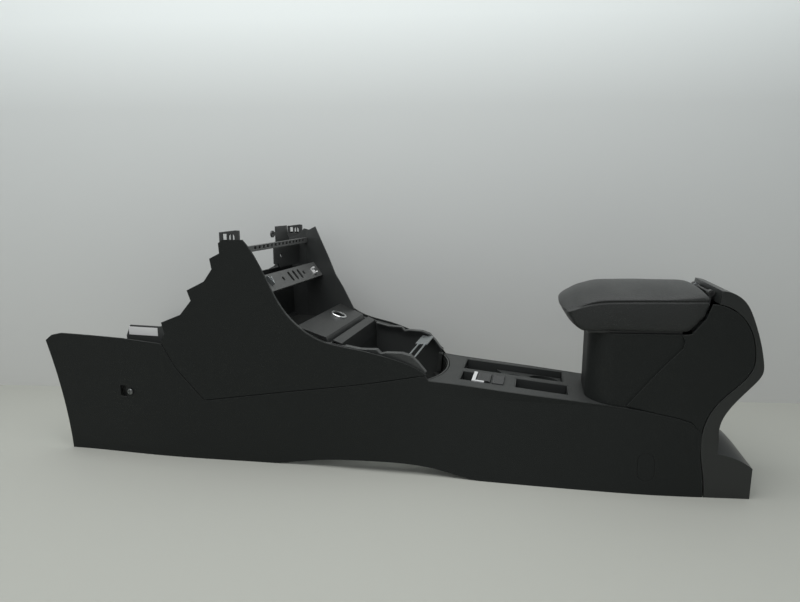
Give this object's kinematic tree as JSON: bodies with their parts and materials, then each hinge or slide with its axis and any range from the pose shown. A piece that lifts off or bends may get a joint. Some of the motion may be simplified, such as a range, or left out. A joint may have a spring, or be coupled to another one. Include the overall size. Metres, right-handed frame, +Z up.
{
  "type": "car center console",
  "caption": "Full-length floor console: open dash tower with tray and power socket, selector opening, switch and cup deck, armrest bin with hinged lid.",
  "frame": {"origin": "middle of the length and width, on the floor the console stands on", "axes": "+X towards the rear of the car, +Y to its right, +Z up"},
  "size_m": [1.2044, 0.3248, 0.409],
  "materials": {
    "grained_plastic": "fine-grained soft-touch charcoal plastic",
    "black_plastic": "plain moulded black plastic",
    "deck_plastic": "fine-grained dark grey plastic",
    "light_grey_plastic": "plain mid-grey plastic",
    "switch_plastic": "smooth satin black plastic",
    "white_plastic": "plain white",
    "armrest_leather": "grained charcoal leatherette",
    "zinc_steel": "bright zinc-plated steel",
    "satin_metal": "satin silver",
    "chrome": "bright chrome",
    "brass": "plain brass"
  },
  "bodies": {
    "console": {"back_plate": "black_plastic", "bar_clip": "zinc_steel", "bin_box": "black_plastic", "bin_cover_left": "grained_plastic", "bin_cover_right": "grained_plastic", "blank_label": "white_plastic", "carrier_left": "black_plastic", "carrier_right": "black_plastic", "cross_brace": "zinc_steel", "cup_insert": "deck_plastic", "deck_plate": "deck_plastic", "front_screw_left": "zinc_steel", "front_screw_right": "zinc_steel", "hinge_bracket": "zinc_steel", "hinge_pin": "zinc_steel", "lower_bar": "light_grey_plastic", "lower_panel_left": "grained_plastic", "lower_panel_right": "grained_plastic", "pocket_tray": "deck_plastic", "power_socket": "black_plastic", "rear_cap": "grained_plastic", "retainer_clip": "white_plastic", "screw_cap_left": "grained_plastic", "screw_cap_right": "grained_plastic", "selector_wall": "black_plastic", "socket_contact": "brass", "socket_ring": "chrome", "switch_housing": "deck_plastic", "switch_trim": "satin_metal", "top_bracket_left": "black_plastic", "top_bracket_right": "black_plastic", "tower_panel_left": "grained_plastic", "tower_panel_right": "grained_plastic", "tray": "black_plastic", "upper_bar": "black_plastic"},
    "armrest": {"armrest_pad": "armrest_leather", "armrest_base": "black_plastic"},
    "brake": {"brake_switch": "switch_plastic"},
    "hold": {"hold_button": "switch_plastic"}
  },
  "joints": [
    {"name": "armrest_hinge", "type": "hinge", "parent": "console", "child": "armrest", "pos_m": [0.526, 0, 0.318], "axis": [0, 1, 0], "range_deg": [0, 70]},
    {"name": "brake_rocker", "type": "hinge", "parent": "console", "child": "brake", "pos_m": [0.1841, -0.031, 0.14334], "axis": [0, 1, 0], "range_deg": [-6, 6], "stiffness_Nm_per_rad": 0.3},
    {"name": "hold_press", "type": "slide", "parent": "console", "child": "hold", "axis": [-0.0758, 0, -0.9971], "range_m": [0, 0.0015], "stiffness_N_per_m": 300, "springref_m": -0.0005}
  ]
}
